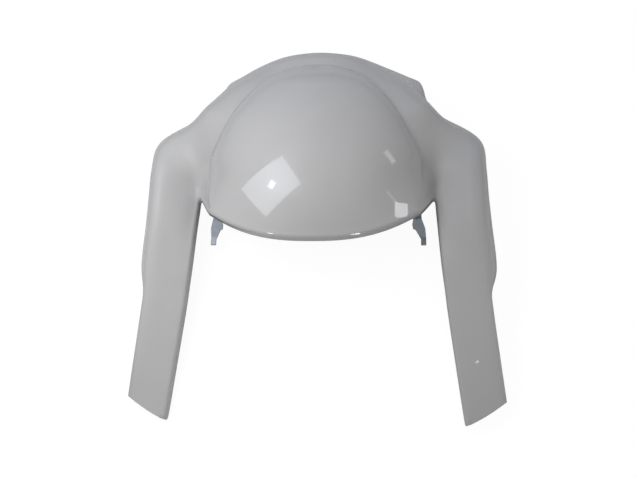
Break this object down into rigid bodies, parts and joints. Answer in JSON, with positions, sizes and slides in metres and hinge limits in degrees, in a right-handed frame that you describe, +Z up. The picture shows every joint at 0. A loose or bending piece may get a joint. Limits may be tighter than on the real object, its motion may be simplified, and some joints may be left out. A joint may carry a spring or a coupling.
{
  "type": "motorcycle rear seat cowl",
  "caption": "Glossy moulded rear seat cowl with a rounded hump, a front lip, side skirts, forward arms and small steel fixing brackets.",
  "frame": {"origin": "middle of the bounding box, at the level of the lower edges that it lies on", "axes": "+X to the side, +Y to the tail, +Z up; the arms point to -Y"},
  "size_m": [0.373, 0.3873, 0.139],
  "materials": {
    "shell": "glossy light grey painted plastic",
    "bracket": "blue-grey painted steel strip",
    "screw": "zinc plated steel"
  },
  "bodies": {
    "root": {"shell": "shell", "bracket_right": "bracket", "bracket_left": "bracket", "screws": "screw"}
  },
  "joints": []
}
